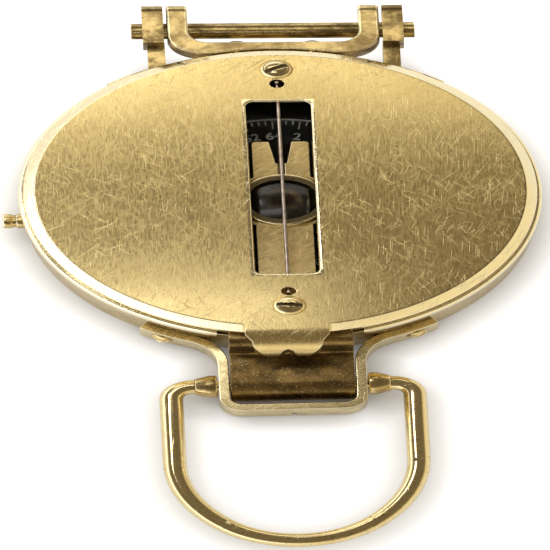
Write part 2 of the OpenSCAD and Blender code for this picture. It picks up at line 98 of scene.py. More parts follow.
class Wiring:
    """Short calls that place and join shader nodes in one tree."""

    def __init__(self, tree: bpy.types.NodeTree) -> None:
        """Keeps the tree that the nodes go into."""
        self.tree = tree

    def node(self, kind: str, **settings: object) -> Node:
        """Adds a node.

        Args:
            kind: the node's type name.
            settings: attributes to set on it.

        Returns:
            The new node.
        """
        made = self.tree.nodes.new(kind)
        for name, value in settings.items():
            setattr(made, name, value)
        return made

    def feed(self, socket: Socket, value: object) -> None:
        """Links a socket into another, or sets its plain value."""
        if isinstance(value, bpy.types.NodeSocket):
            self.tree.links.new(value, socket)
        elif value is not None:
            socket.default_value = value

    def maths(self, operation: str, first: object, second: object = None, clamp: bool = False) -> Socket:
        """Adds a Math node.

        Args:
            operation: its operation.
            first: the first input, a socket or a number.
            second: the second input.
            clamp: whether the result is kept from 0 to 1.

        Returns:
            The result's socket.
        """
        made = self.node("ShaderNodeMath", operation=operation, use_clamp=clamp)
        self.feed(made.inputs[0], first)
        self.feed(made.inputs[1], second)
        return made.outputs[0]

    def vector(self, operation: str, first: object, second: object = None) -> Node:
        """Adds a Vector Math node and returns it."""
        made = self.node("ShaderNodeVectorMath", operation=operation)
        self.feed(made.inputs[0], first)
        self.feed(made.inputs[1], second)
        return made

    def span(self, value: object, low: object, high: object, out_low: float = 0.0,
             out_high: float = 1.0) -> Socket:
        """Maps a range on to another, smoothly and clamped.

        Args:
            value: what is mapped.
            low: the range's start.
            high: the range's end.
            out_low: the result at the start.
            out_high: the result at the end.

        Returns:
            The result's socket.
        """
        made = self.node("ShaderNodeMapRange", interpolation_type="SMOOTHSTEP", clamp=True)
        for socket, given in zip(made.inputs[:5], (value, low, high, out_low, out_high)):
            self.feed(socket, given)
        return made.outputs[0]

    def mix(self, share: object, first: object, second: object, blend: str = "MIX") -> Socket:
        """Mixes two colours.

        Args:
            share: how much of the second.
            first: a socket or a colour.
            second: a socket or a colour.
            blend: the blend mode.

        Returns:
            The mixed colour's socket.
        """
        made = self.node("ShaderNodeMix", data_type="RGBA", blend_type=blend, clamp_factor=True)
        self.feed(made.inputs["Factor"], share)
        colours = [s for s in made.inputs if s.type == "RGBA"]
        for socket, given in zip(colours, (first, second)):
            self.feed(socket, (*given, 1.0) if isinstance(given, tuple) and len(given) == 3 else given)
        return next(s for s in made.outputs if s.type == "RGBA")

    def split(self, vector: object) -> tuple[Socket, Socket, Socket]:
        """Splits a vector into its three numbers."""
        made = self.node("ShaderNodeSeparateXYZ")
        self.feed(made.inputs[0], vector)
        return made.outputs[0], made.outputs[1], made.outputs[2]

    def group(self, effect: Effect, **values: object) -> Node:
        """Places a shared group.

        Args:
            effect: which group.
            values: its inputs by name, with spaces written as underscores.

        Returns:
            The group's node.
        """
        made = self.node("ShaderNodeGroup", node_tree=bpy.data.node_groups[effect.value])
        for name, value in values.items():
            self.feed(made.inputs[name.replace("_", " ")], value)
        return made


class Effects:
    """Builds the node groups that several finishes share."""

    @staticmethod
    def _start(effect: Effect, inputs: dict[str, float | None],
               outputs: Iterable[str]) -> tuple[Wiring, Node, Node]:
        """Makes an empty group.

        Args:
            effect: the group's name.
            inputs: input names and default numbers; None makes a vector.
            outputs: names of its number outputs.

        Returns:
            The wiring, the input node and the output node.
        """
        tree = bpy.data.node_groups.new(effect.value, "ShaderNodeTree")
        for name, value in inputs.items():
            kind = "NodeSocketVector" if value is None else "NodeSocketFloat"
            socket = tree.interface.new_socket(name=name, in_out="INPUT", socket_type=kind)
            if value is not None:
                socket.default_value = value
        for name in outputs:
            tree.interface.new_socket(name=name, in_out="OUTPUT", socket_type="NodeSocketFloat")
        wiring = Wiring(tree)
        return wiring, wiring.node("NodeGroupInput"), wiring.node("NodeGroupOutput")

    def hairlines(self) -> None:
        """Separate thin scratches with tapered ends, each in its own long cell."""
        names = {"Vector": None, "Angle": 0.0, "Across": 3000.0, "Along": 30.0,
                 "Width": 0.1, "Share": 0.5, "Waver": 0.0001}
        w, given, out = self._start(Effect.HAIRLINES, names, ("Mask", "Tone"))
        bend = w.node("ShaderNodeTexNoise", noise_dimensions="3D")
        w.feed(bend.inputs["Vector"], given.outputs["Vector"])
        bend.inputs["Scale"].default_value = 60.0
        bend.inputs["Detail"].default_value = 1.0
        centred = w.vector("SUBTRACT", bend.outputs["Color"], (0.5, 0.5, 0.5)).outputs[0]
        swing = w.vector("SCALE", centred)
        w.feed(swing.inputs["Scale"], given.outputs["Waver"])
        bent = w.vector("ADD", given.outputs["Vector"], swing.outputs[0]).outputs[0]
        turned = w.node("ShaderNodeVectorRotate", rotation_type="Z_AXIS")
        w.feed(turned.inputs["Vector"], bent)
        w.feed(turned.inputs["Angle"], given.outputs["Angle"])
        cells = w.node("ShaderNodeCombineXYZ")
        w.feed(cells.inputs[0], given.outputs["Across"])
        w.feed(cells.inputs[1], given.outputs["Along"])
        stretched = w.vector("MULTIPLY", turned.outputs[0], cells.outputs[0]).outputs[0]
        voronoi = w.node("ShaderNodeTexVoronoi", voronoi_dimensions="2D", feature="F1")
        w.feed(voronoi.inputs["Vector"], stretched)
        voronoi.inputs["Scale"].default_value = 1.0
        near = w.span(voronoi.outputs["Distance"], 0.0, given.outputs["Width"], 1.0, 0.0)
        red = w.node("ShaderNodeSeparateColor")
        w.feed(red.inputs[0], voronoi.outputs["Color"])
        kept = w.maths("LESS_THAN", red.outputs[0], given.outputs["Share"])
        w.feed(out.inputs["Mask"], w.maths("MULTIPLY", near, kept))
        w.feed(out.inputs["Tone"], red.outputs[1])

    def rubbing(self) -> None:
        """Very fine streaks in one direction, as fine abrasive leaves."""
        names = {"Vector": None, "Angle": 0.0, "Across": 9000.0, "Along": 900.0}
        w, given, out = self._start(Effect.RUBBING, names, ("Value",))
        turned = w.node("ShaderNodeVectorRotate", rotation_type="Z_AXIS")
        w.feed(turned.inputs["Vector"], given.outputs["Vector"])
        w.feed(turned.inputs["Angle"], given.outputs["Angle"])
        cells = w.node("ShaderNodeCombineXYZ")
        w.feed(cells.inputs[0], given.outputs["Across"])
        w.feed(cells.inputs[1], given.outputs["Along"])
        w.feed(cells.inputs[2], given.outputs["Across"])
        stretched = w.vector("MULTIPLY", turned.outputs[0], cells.outputs[0]).outputs[0]
        noise = w.node("ShaderNodeTexNoise", noise_dimensions="3D")
        w.feed(noise.inputs["Vector"], stretched)
        noise.inputs["Scale"].default_value = 1.0
        noise.inputs["Detail"].default_value = 3.0
        w.feed(out.inputs["Value"], noise.outputs[0])

    def patina(self) -> None:
        """Soft blotches where handling has darkened the metal, with small specks in them."""
        names = {"Vector": None, "Scale": 250.0, "Cover": 0.5, "Softness": 0.15}
        w, given, out = self._start(Effect.PATINA, names, ("Mask", "Specks"))
        noise = w.node("ShaderNodeTexNoise", noise_dimensions="3D")
        w.feed(noise.inputs["Vector"], given.outputs["Vector"])
        w.feed(noise.inputs["Scale"], given.outputs["Scale"])
        noise.inputs["Detail"].default_value = 5.0
        noise.inputs["Roughness"].default_value = 0.62
        edge = w.maths("SUBTRACT", 1.0, given.outputs["Cover"])
        low = w.maths("SUBTRACT", edge, given.outputs["Softness"])
        high = w.maths("ADD", edge, given.outputs["Softness"])
        w.feed(out.inputs["Mask"], w.span(noise.outputs[0], low, high))
        fine = w.node("ShaderNodeTexNoise", noise_dimensions="3D")
        w.feed(fine.inputs["Vector"], given.outputs["Vector"])
        w.feed(fine.inputs["Scale"], w.maths("MULTIPLY", given.outputs["Scale"], 9.0))
        fine.inputs["Detail"].default_value = 2.0
        w.feed(out.inputs["Specks"], w.span(fine.outputs[0], 0.6, 0.72))

    def band(self) -> None:
        """1 between two radii from the case's axis, 0 elsewhere."""
        names = {"Vector": None, "Inner": 0.02, "Outer": 0.03, "Softness": 0.0001}
        w, given, out = self._start(Effect.BAND, names, ("Mask",))
        flat = w.vector("MULTIPLY", given.outputs["Vector"], (1.0, 1.0, 0.0)).outputs[0]
        radius = w.vector("LENGTH", flat).outputs["Value"]
        inner_end = w.maths("ADD", given.outputs["Inner"], given.outputs["Softness"])
        outer_end = w.maths("ADD", given.outputs["Outer"], given.outputs["Softness"])
        rise = w.span(radius, given.outputs["Inner"], inner_end)
        fall = w.span(radius, given.outputs["Outer"], outer_end, 1.0, 0.0)
        w.feed(out.inputs["Mask"], w.maths("MULTIPLY", rise, fall))

    def spot(self) -> None:
        """1 near a place, fading to 0 at a distance from it."""
        names = {"Vector": None, "Centre": None, "Radius": 0.01}
        w, given, out = self._start(Effect.SPOT, names, ("Mask",))
        away = w.vector("DISTANCE", given.outputs["Vector"], given.outputs["Centre"]).outputs["Value"]
        w.feed(out.inputs["Mask"], w.span(away, 0.0, given.outputs["Radius"], 1.0, 0.0))

    def slot_rim(self) -> None:
        """1 on the polished edge round the sight slot, lightened partly as a painted highlight."""
        names = {"Vector": None, "Half Width": 3.5 * MM, "Half Length": 17.0 * MM, "Middle": 0.6 * MM,
                 "Rim": 0.36 * MM}
        w, given, out = self._start(Effect.SLOT_RIM, names, ("Mask",))
        x, y, _ = w.split(given.outputs["Vector"])
        beside = w.maths("SUBTRACT", w.maths("ABSOLUTE", x), given.outputs["Half Width"])
        beyond = w.maths("SUBTRACT", w.maths("ABSOLUTE", w.maths("SUBTRACT", y, given.outputs["Middle"])),
                         given.outputs["Half Length"])
        away = w.maths("MAXIMUM", beside, beyond)
        w.feed(out.inputs["Mask"], w.span(away, given.outputs["Rim"],
                                          w.maths("MULTIPLY", given.outputs["Rim"], 1.5), 1.0, 0.0))

    def build(self) -> None:
        """Builds every group once."""
        for make in (self.hairlines, self.rubbing, self.patina, self.band, self.spot, self.slot_rim):
            make()


@dataclass(frozen=True)
class BrassFinish:
    """Satin or polished brass with patina, fine rubbing, separate scratches, and edges lightened partly by
    wear and partly by painted highlight.
    """

    name: str
    bright: Colour
    dull: Colour
    roughness: float = 0.25
    patina_cover: float = 0.45
    patina_scale: float = 260.0
    patina_share: float = 0.6
    scratch_share: float = 0.35
    lay: Lay = Lay.SLANT
    grain: float = 0.12
    relief: float = 0.00002
    softness: float = 0.15
    specks: float = 0.35
    streaks: float = 0.22
    # edge wear and painted highlight: a whiter-than-brass tone for the rounded edges
    wear: float = 0.75
    worn_tone: Colour = (0.98, 0.87, 0.60)

    def start(self) -> tuple[bpy.types.Material, Wiring, Node, Socket]:
        """Makes the material's shader.

        Returns:
            The material, its wiring, the shader node and the coordinates.
        """
        material = bpy.data.materials.new(self.name)
        material.use_nodes = True
        w = Wiring(material.node_tree)
        shader = material.node_tree.nodes["Principled BSDF"]
        shader.inputs["Metallic"].default_value = 1.0
        here = w.node("ShaderNodeTexCoord").outputs["Object"]
        return material, w, shader, here

    def surface(self, w: Wiring, here: Socket) -> tuple[Socket, Socket, Socket]:
        """Wires the colour, roughness and height that all brass has.

        Args:
            w: the material's wiring.
            here: object coordinates.

        Returns:
            The colour, the roughness and the height.
        """
        stain = w.group(Effect.PATINA, Vector=here, Scale=self.patina_scale, Cover=self.patina_cover,
                        Softness=self.softness)
        grain = w.group(Effect.RUBBING, Vector=here, Angle=self.lay.value)
        lines = w.group(Effect.HAIRLINES, Vector=here, Angle=self.lay.value + 0.5, Share=self.scratch_share)
        cross = w.group(Effect.HAIRLINES, Vector=here, Angle=self.lay.value - 0.8, Share=self.scratch_share,
                        Across=2300.0, Along=60.0)
        worn = w.maths("MULTIPLY", stain.outputs["Mask"], self.patina_share)
        colour = w.mix(worn, self.bright, self.dull)
        colour = w.mix(w.maths("MULTIPLY", stain.outputs["Specks"], self.specks), colour,
                       tuple(0.45 * c for c in self.dull))
        streak = w.span(grain.outputs["Value"], 0.3, 0.7, 1.0 - self.streaks, 1.0)
        colour = w.vector("SCALE", colour).outputs[0]
        w.feed(colour.node.inputs["Scale"], streak)
        scratched = w.maths("MAXIMUM", lines.outputs["Mask"], cross.outputs["Mask"])
        light = w.maths("MULTIPLY", scratched, 0.5)
        colour = w.mix(light, colour, tuple(min(1.0, 1.15 * c) for c in self.bright))
        rough = w.maths("ADD", self.roughness, w.maths("MULTIPLY", w.maths(
            "SUBTRACT", grain.outputs["Value"], 0.5), 2.0 * self.grain))
        rough = w.maths("ADD", rough, w.maths("MULTIPLY", worn, 0.14))
        rough = w.maths("ADD", rough, w.maths("MULTIPLY", scratched, 0.10), clamp=True)
        # edge wear and painted highlight: the rounded edges get a whiter-than-brass tone, in patches
        edge = w.node("ShaderNodeAttribute", attribute_type="GEOMETRY", attribute_name=WORN_SHEEN).outputs["Fac"]
        patchy = w.span(stain.outputs["Mask"], 0.0, 1.0, self.wear, 0.55 * self.wear)
        edge = w.maths("MULTIPLY", edge, patchy)
        colour = w.mix(edge, colour, self.worn_tone)
        rough = w.maths("SUBTRACT", rough, w.maths("MULTIPLY", edge, 0.08), clamp=True)
        height = w.maths("SUBTRACT", w.maths("MULTIPLY", grain.outputs["Value"], 0.4), scratched)
        return colour, rough, height

    def close(self, w: Wiring, shader: Node, colour: Socket, rough: Socket, height: Socket) -> None:
        """Feeds the shader's sockets."""
        bump = w.node("ShaderNodeBump")
        bump.inputs["Strength"].default_value = 0.35
        bump.inputs["Distance"].default_value = self.relief
        w.feed(bump.inputs["Height"], height)
        w.feed(shader.inputs["Base Color"], colour)
        w.feed(shader.inputs["Roughness"], rough)
        w.feed(shader.inputs["Normal"], bump.outputs["Normal"])

    def build(self) -> bpy.types.Material:
        """Builds the material."""
        material, w, shader, here = self.start()
        colour, rough, height = self.surface(w, here)
        self.close(w, shader, colour, rough, height)
        return material


@dataclass(frozen=True)
class LidFinish(BrassFinish):
    """The lid's brass: a rubbed face with a painted shade line along its east and south edge, and a
    polished chamfer, skirt and slot edge whose whiter colour is partly painted highlight.
    """

    face_radius: float = 26.75 * MM
    tab_middle: float = -0.4 * MM
    tab_half: float = 4.7 * MM
    tab_root: float = -25.0 * MM
    # whiter than brass: polish that is partly painted highlight
    polished: Colour = (0.96, 0.86, 0.58)

    def scratches(self, w: Wiring, here: Socket) -> tuple[Socket, Socket]:
        """Wires the face's scratches, thicker where the lid has been knocked and rubbed.

        Args:
            w: the material's wiring.
            here: object coordinates.

        Returns:
            The masks of the bright and the dark scratches.
        """
        bright: Socket | float = 0.0
        dark: Socket | float = 0.0
        fine = ((0.35, 4600.0, 120.0, 0.40), (1.05, 4200.0, 150.0, 0.38), (-0.45, 4900.0, 130.0, 0.40),
                (-1.15, 4400.0, 160.0, 0.34), (0.05, 5200.0, 110.0, 0.45), (0.75, 3000.0, 60.0, 0.25))
        for angle, across, along, share in fine:
            lines = w.group(Effect.HAIRLINES, Vector=here, Angle=angle, Across=across, Along=along,
                            Share=share, Width=0.16)
            bright = w.maths("MAXIMUM", bright, w.maths("MULTIPLY", lines.outputs["Mask"],
                                                        w.span(lines.outputs["Tone"], 0.35, 1.0, 0.1, 0.8)))
            dark = w.maths("MAXIMUM", dark, w.maths("MULTIPLY", lines.outputs["Mask"],
                                                    w.span(lines.outputs["Tone"], 0.0, 0.35, 0.8, 0.0)))
        bold = (((-0.0225, -0.0095, 0.0145), 0.011, 1.05, 1500.0, 60.0),
                ((-0.0225, -0.0095, 0.0145), 0.011, -0.75, 1300.0, 90.0),
                ((0.0205, -0.0085, 0.0145), 0.008, 0.6, 1200.0, 160.0),
                ((0.0225, 0.0005, 0.0145), 0.008, -0.5, 1100.0, 200.0),
                ((0.0045, -0.0165, 0.0145), 0.006, 0.35, 2200.0, 190.0),
                ((0.0045, -0.0165, 0.0145), 0.006, -0.5, 2000.0, 210.0),
                ((-0.0165, -0.0155, 0.0145), 0.008, 0.15, 2100.0, 110.0),
                ((-0.020, 0.006, 0.0145), 0.013, -1.0, 1700.0, 70.0))
        for centre, radius, angle, across, along in bold:
            region = w.group(Effect.SPOT, Vector=here, Centre=centre, Radius=radius)
            lines = w.group(Effect.HAIRLINES, Vector=here, Angle=angle, Across=across, Along=along,
                            Share=0.45, Width=0.12)
            strong = w.maths("MULTIPLY", lines.outputs["Mask"], region.outputs["Mask"])
            bright = w.maths("MAXIMUM", bright, strong)
        return bright, dark

    def off_tab(self, w: Wiring, here: Socket) -> Socket:
        """Wires a mask that is 0 on the thumb tab, whose face runs on from the lid's."""
        x, y, _ = w.split(here)
        beside = w.span(w.maths("ABSOLUTE", w.maths("SUBTRACT", x, self.tab_middle)), self.tab_half,
                        self.tab_half + 0.3 * MM)
        return w.maths("MAXIMUM", beside, w.span(y, self.tab_root, self.tab_root + 1.0 * MM))

    def build(self) -> bpy.types.Material:
        """Builds the material."""
        material, w, shader, here = self.start()
        colour, rough, height = self.surface(w, here)
        bright, dark = self.scratches(w, here)
        colour = w.mix(w.maths("MULTIPLY", bright, 0.6), colour, self.polished)
        colour = w.mix(w.maths("MULTIPLY", dark, 0.6), colour, tuple(0.3 * c for c in self.dull))
        rough = w.maths("ADD", rough, w.maths("MULTIPLY", bright, 0.1))
        height = w.maths("SUBTRACT", height, w.maths("MULTIPLY", w.maths("MAXIMUM", bright, dark), 2.0))
        # painted shade: a dark line along the face's edge, on its east and south sides only
        edge_shade_band = w.group(Effect.BAND, Vector=here, Inner=self.face_radius - 0.2 * MM,
                       Outer=self.face_radius, Softness=0.12 * MM)
        east = w.span(w.split(here)[0], -0.5 * self.face_radius, self.face_radius)
        south = w.span(w.split(here)[1], 0.0, -self.face_radius)
        off_tab = self.off_tab(w, here)
        edge_shade = w.maths("MULTIPLY", edge_shade_band.outputs["Mask"], w.maths("MAXIMUM", east, south))
        edge_shade = w.maths("MULTIPLY", edge_shade, off_tab)
        colour = w.mix(w.maths("MULTIPLY", edge_shade, 0.6), colour, tuple(0.35 * c for c in self.dull))
        # polish and painted highlight: the chamfer, the skirt and the slot's edge get a whiter-than-brass
        # colour and less roughness
        chamfer = w.group(Effect.BAND, Vector=here, Inner=self.face_radius + 0.03 * MM, Outer=0.04,
                          Softness=0.05 * MM)
        rim = w.group(Effect.SLOT_RIM, Vector=here)
        polish_highlight = w.maths("MULTIPLY", chamfer.outputs["Mask"], off_tab)
        polish_highlight = w.maths("MAXIMUM", polish_highlight, rim.outputs["Mask"])
        colour = w.mix(w.maths("MULTIPLY", polish_highlight, 0.85), colour, self.polished)
        rough = w.maths("SUBTRACT", rough, w.maths("MULTIPLY", polish_highlight, 0.2), clamp=True)
        self.close(w, shader, colour, rough, height)
        return material


@dataclass(frozen=True)
class BracketFinish(BrassFinish):
    """The eyepiece's brass: plain on the blade under the lid. On the shelf outside it there is painted
    shade, near black with lighter rubbed patches and bright painted glints.
    """

    # painted shade and painted glint colours for the shelf
    grime: Colour = (0.055, 0.033, 0.011)
    rubbed: Colour = (0.42, 0.26, 0.08)
    spark: Colour = (0.95, 0.82, 0.52)
    clean_from: float = -24.0 * MM
    grime_from: float = -28.5 * MM

    def build(self) -> bpy.types.Material:
        """Builds the material."""
        material, w, shader, here = self.start()
        colour, rough, height = self.surface(w, here)
        # painted shade over the shelf outside the lid, with painted glints as bright specks
        outside = w.span(w.split(here)[1], self.grime_from, self.clean_from, 1.0, 0.0)
        rubbed = w.group(Effect.PATINA, Vector=here, Scale=330.0, Cover=0.5, Softness=0.2)
        glints = w.group(Effect.PATINA, Vector=here, Scale=480.0)
        shaded = w.mix(w.maths("MULTIPLY", rubbed.outputs["Mask"], 0.8), self.grime, self.rubbed)
        shaded = w.mix(w.maths("MULTIPLY", glints.outputs["Specks"], 0.7), shaded, self.spark)
        share = w.maths("MULTIPLY", outside, 0.94)
        colour = w.mix(share, colour, shaded)
        rough = w.maths("ADD", rough, w.maths("MULTIPLY", share, 0.08), clamp=True)
        self.close(w, shader, colour, rough, height)
        return material


@dataclass(frozen=True)
class CellFinish(BrassFinish):
    """The lens cell's brass: a bright outer edge round a face made dark within a radius of the cell's
    middle.
    """

    centre: Place = (0.0, -1.25 * MM, 0.0)
    edge: float = 4.6 * MM
    black: Colour = (0.075, 0.055, 0.03)

    def build(self) -> bpy.types.Material:
        """Builds the material."""
        material, w, shader, here = self.start()
        colour, rough, height = self.surface(w, here)
        moved = w.vector("SUBTRACT", here, self.centre).outputs[0]
        face = w.group(Effect.BAND, Vector=moved, Inner=0.0, Outer=self.edge, Softness=0.12 * MM)
        colour = w.mix(w.maths("MULTIPLY", face.outputs["Mask"], 0.9), colour, self.black)
        rough = w.maths("ADD", rough, w.maths("MULTIPLY", face.outputs["Mask"], 0.14), clamp=True)
        self.close(w, shader, colour, rough, height)
        return material


@dataclass(frozen=True)
class SlottedFinish(BrassFinish):
    """The wire screws' brass, with painted shade in the driver slots."""

    floor: float = 15.07 * MM
    places: tuple[Place, Place] = ((0.0, 23.95 * MM, 15.0 * MM), (0.0, -22.75 * MM, 15.0 * MM))
    dirt: Colour = (0.05, 0.03, 0.012)

    def build(self) -> bpy.types.Material:
        """Builds the material."""
        material, w, shader, here = self.start()
        colour, rough, height = self.surface(w, here)
        near: Socket | float = 0.0
        for place in self.places:
            spot = w.group(Effect.SPOT, Vector=here, Centre=place, Radius=2.15 * MM)
            near = w.maths("MAXIMUM", near, w.span(spot.outputs["Mask"], 0.2, 0.3))
        # painted shade: the slot floors below the screw heads' tops are darkened
        deep = w.maths("MULTIPLY", near, w.maths("LESS_THAN", w.split(here)[2], self.floor))
        colour = w.mix(w.maths("MULTIPLY", deep, 0.95), colour, self.dirt)
        rough = w.maths("ADD", rough, w.maths("MULTIPLY", deep, 0.3), clamp=True)
        self.close(w, shader, colour, rough, height)
        return material


@dataclass(frozen=True)
class PlainFinish:
    """A non-brass surface: steel, card, rubber or jewel, with a mottled tone."""

    name: str
    light: Colour
    dark: Colour
    metallic: float = 0.0
    roughness: float = 0.4
    scale: float = 900.0
    gloss: float = 0.5

    def build(self) -> bpy.types.Material:
        """Builds the material."""
        material = bpy.data.materials.new(self.name)
        material.use_nodes = True
        w = Wiring(material.node_tree)
        shader = material.node_tree.nodes["Principled BSDF"]
        shader.inputs["Metallic"].default_value = self.metallic
        shader.inputs["Specular IOR Level"].default_value = self.gloss
        here = w.node("ShaderNodeTexCoord").outputs["Object"]
        stain = w.group(Effect.PATINA, Vector=here, Scale=self.scale, Cover=0.5, Softness=0.2)
        w.feed(shader.inputs["Base Color"], w.mix(stain.outputs["Mask"], self.light, self.dark))
        w.feed(shader.inputs["Roughness"], w.span(stain.outputs["Mask"], 0.0, 1.0, self.roughness,
                                                  min(1.0, self.roughness + 0.12)))
        bump = w.node("ShaderNodeBump")
        bump.inputs["Strength"].default_value = 0.2
        bump.inputs["Distance"].default_value = 0.00001
        w.feed(bump.inputs["Height"], stain.outputs["Specks"])
        w.feed(shader.inputs["Normal"], bump.outputs["Normal"])
        return material


@dataclass(frozen=True)
class GlassFinish:
    """Glass with faint wipe marks and a tint; the eyepiece lens's dark brown tint is painted shade."""

    name: str
    tint: Colour = (0.9, 0.93, 0.9)
    ior: float = 1.45
    roughness: float = 0.02
    gloss: float = 0.5

    def build(self) -> bpy.types.Material:
        """Builds the material."""
        material = bpy.data.materials.new(self.name)
        material.use_nodes = True
        w = Wiring(material.node_tree)
        shader = material.node_tree.nodes["Principled BSDF"]
        shader.inputs["Base Color"].default_value = (*self.tint, 1.0)
        shader.inputs["Transmission Weight"].default_value = 1.0
        shader.inputs["IOR"].default_value = self.ior
        shader.inputs["Specular IOR Level"].default_value = self.gloss
        here = w.node("ShaderNodeTexCoord").outputs["Object"]
        wiped = w.group(Effect.HAIRLINES, Vector=here, Angle=0.6, Across=1800.0, Along=90.0, Share=0.3)
        w.feed(shader.inputs["Roughness"], w.maths("ADD", self.roughness,
                                                   w.maths("MULTIPLY", wiped.outputs["Mask"], 0.12)))
        return material


def mesh_piece(name: str, mesh_edit: bmesh.types.BMesh, body: str,
               finish: bpy.types.Material) -> Piece:
    """Turns a bmesh into a finished piece that rides on a body.

    Args:
        name: the piece's name.
        mesh_edit: its mesh, in place; it is freed.
        body: the CAD body that it rides on.
        finish: its material.

    Returns:
        The new object.
    """
    mesh = bpy.data.meshes.new(name)
    mesh_edit.to_mesh(mesh)
    mesh_edit.free()
    made = bpy.data.objects.new(name, mesh)
    bpy.context.scene.collection.objects.link(made)
    mesh.materials.append(finish)
    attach(made, body)
    return made


def smooth(piece: Piece, angle: float = 35.0) -> None:
    """Shades a piece smooth, but for edges sharper than an angle in degrees."""
    piece.data.shade_smooth()
    piece.data.set_sharp_from_angle(angle=math.radians(angle))
    piece.modifiers.new("Even shading", "WEIGHTED_NORMAL").keep_sharp = True


@dataclass(frozen=True)
class Roundings:
    """Widths of the rounded edges, in millimetres."""

    sheet: float = 0.14
    lid: float = 0.09
    casting: float = 0.3
    ear: float = 0.16
    screw: float = 0.06
    turned: float = 0.1
    hub: float = 0.08
    knob: float = 0.15
    collar: float = 0.2
    wire_end: float = 0.05


@dataclass
class Assembly:
    """What every sub-assembly shares: its frame, its finishes and the rounding of its parts."""

    frame: dict
    finishes: dict[str, bpy.types.Material]
    roundings: Roundings = Roundings()
    broad_segments: int = 4
    flat_within: float = 0.5

    def __post_init__(self) -> None:
        """Looks up each node's slot and body."""
        self.slots = {s["node"]: s["material_slot"] for s in frame["record"]["subparts"]}
        self.bodies = {n: b for b, nodes in frame["record"]["behaviour"]["bodies"].items() for n in nodes}

    def dress(self, node: str, finish: str | None = None) -> None:
        """Gives a CAD node that stays as it is its slot's finish, or another one."""
        piece = self.frame["nodes"][node]
        piece.data.materials.clear()
        piece.data.materials.append(self.finishes[finish or self.slots[node]])
        LOG.info("dressed %s", node)

    @staticmethod
    def _soften(work: bmesh.types.BMesh, width: float, segments: int, sharp: float,
                chosen: Callable[[bmesh.types.BMEdge], bool] | None = None, held: bool = False) -> None:
        """Rounds the sharp edges and marks the new faces as worn, for an edge colour that is partly wear
        and partly painted highlight.

        Args:
            work: the mesh.
            width: the rounding's width in millimetres.
            segments: faces across each rounding.
            sharp: the least angle, in degrees, of an edge that is rounded.
            chosen: says which of the sharp edges are rounded; None means all.
            held: keeps each rounding from running past its neighbours.
        """
        worn = work.faces.layers.float.get(WORN_SHEEN) or work.faces.layers.float.new(WORN_SHEEN)
        edges = [e for e in work.edges if e.is_manifold and e.is_convex
                 and e.calc_face_angle(0.0) > math.radians(sharp) and (chosen is None or chosen(e))]
        made = bmesh.ops.bevel(work, geom=edges, offset=width * MM, offset_type="OFFSET", segments=segments,
                               profile=0.5, affect="EDGES", clamp_overlap=held, material=-1)
        for face in made["faces"]:
            face[worn] = 1.0

    def round_off(self, node: str, width: float = 0.12, segments: int = 2, sharp: float = 25.0,
                  finish: str | None = None, broad: float = 0.0,
                  chosen: Callable[[bmesh.types.BMEdge], bool] | None = None,
                  held: bool = False, join: float = 0.002) -> Piece:
        """Makes a node again with its sharp edges rounded, as tumbling and handling leave them.

        Args:
            node: the CAD node to stand for.
            width: the rounding's width in millimetres.
            segments: faces across each rounding.
            sharp: the least angle, in degrees, of an edge that is rounded.
            finish: a finish other than its slot's own.
            broad: a broader rounding's width in millimetres, made first.
            chosen: says which edges get the broader one.
            held: keeps each rounding from running past its neighbours.
            join: corners nearer than this, in millimetres, become one.

        Returns:
            The new piece.
        """
        work = bmesh.new()
        work.from_mesh(self.frame["nodes"][node].data)
        bmesh.ops.remove_doubles(work, verts=work.verts, dist=join * MM)
        bmesh.ops.dissolve_limit(work, angle_limit=math.radians(self.flat_within), verts=work.verts,
                                 edges=work.edges)
        if chosen:
            self._soften(work, broad, self.broad_segments, sharp, chosen)
        self._soften(work, width, segments, sharp, held=held)
        made = mesh_piece("finished_" + node, work, self.bodies[node],
                          self.finishes[finish or self.slots[node]])
        smooth(made)
        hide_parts(node)
        LOG.info("rounded %s: %d faces", node, len(made.data.polygons))
        return made


class Case(Assembly):
    """The drum, its base, the ears, the strap and the pins."""

    def build(self) -> None:
        """Builds the case's pieces."""
        for node in ("case_drum", "base_plate", "crystal_ring", "plunger_bush"):
            self.round_off(node, self.roundings.turned)
        self.round_off("hinge_ears", self.roundings.ear, finish="brass_ear", held=True)
        self.round_off("rear_strap", self.roundings.sheet, finish="brass_strap")
        for node in ("base_screws", "ear_screws", "strap_screws"):
            self.round_off(node, self.roundings.screw)
        self.round_off("hinge_pin", self.roundings.turned, finish="brass_pin")
        for node in ("pivot_post", "crystal_gasket", "crystal"):
            self.dress(node)


@dataclass
class Lid(Assembly):
    """The lid, its yoke, its wire and its screws."""

    slot_half: tuple[float, float] = (3.5, 17.0)
    slot_middle: float = 0.6
    slot_chamfer: float = 0.36
    top: float = 0.0

    def _on_slot(self, edge: bmesh.types.BMEdge) -> bool:
        """Whether an edge is on the sight slot's upper rim."""
        near = 0.05 * MM
        return all(abs(v.co.z - self.top) < near and abs(v.co.x) < self.slot_half[0] * MM + near
                   and abs(v.co.y - self.slot_middle * MM) < self.slot_half[1] * MM + near
                   for v in edge.verts)

    def build(self) -> None:
        """Builds the lid's pieces."""
        self.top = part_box("lid_cover")[1].z
        self.round_off("lid_cover", self.roundings.lid, broad=self.slot_chamfer, chosen=self._on_slot)
        self.round_off("lid_yoke", self.roundings.casting, 3, finish="brass_yoke")
        self.round_off("yoke_screws", self.roundings.screw)
        self.round_off("wire_screws", self.roundings.screw, finish="slotted_brass")
        self.dress("sight_wire")


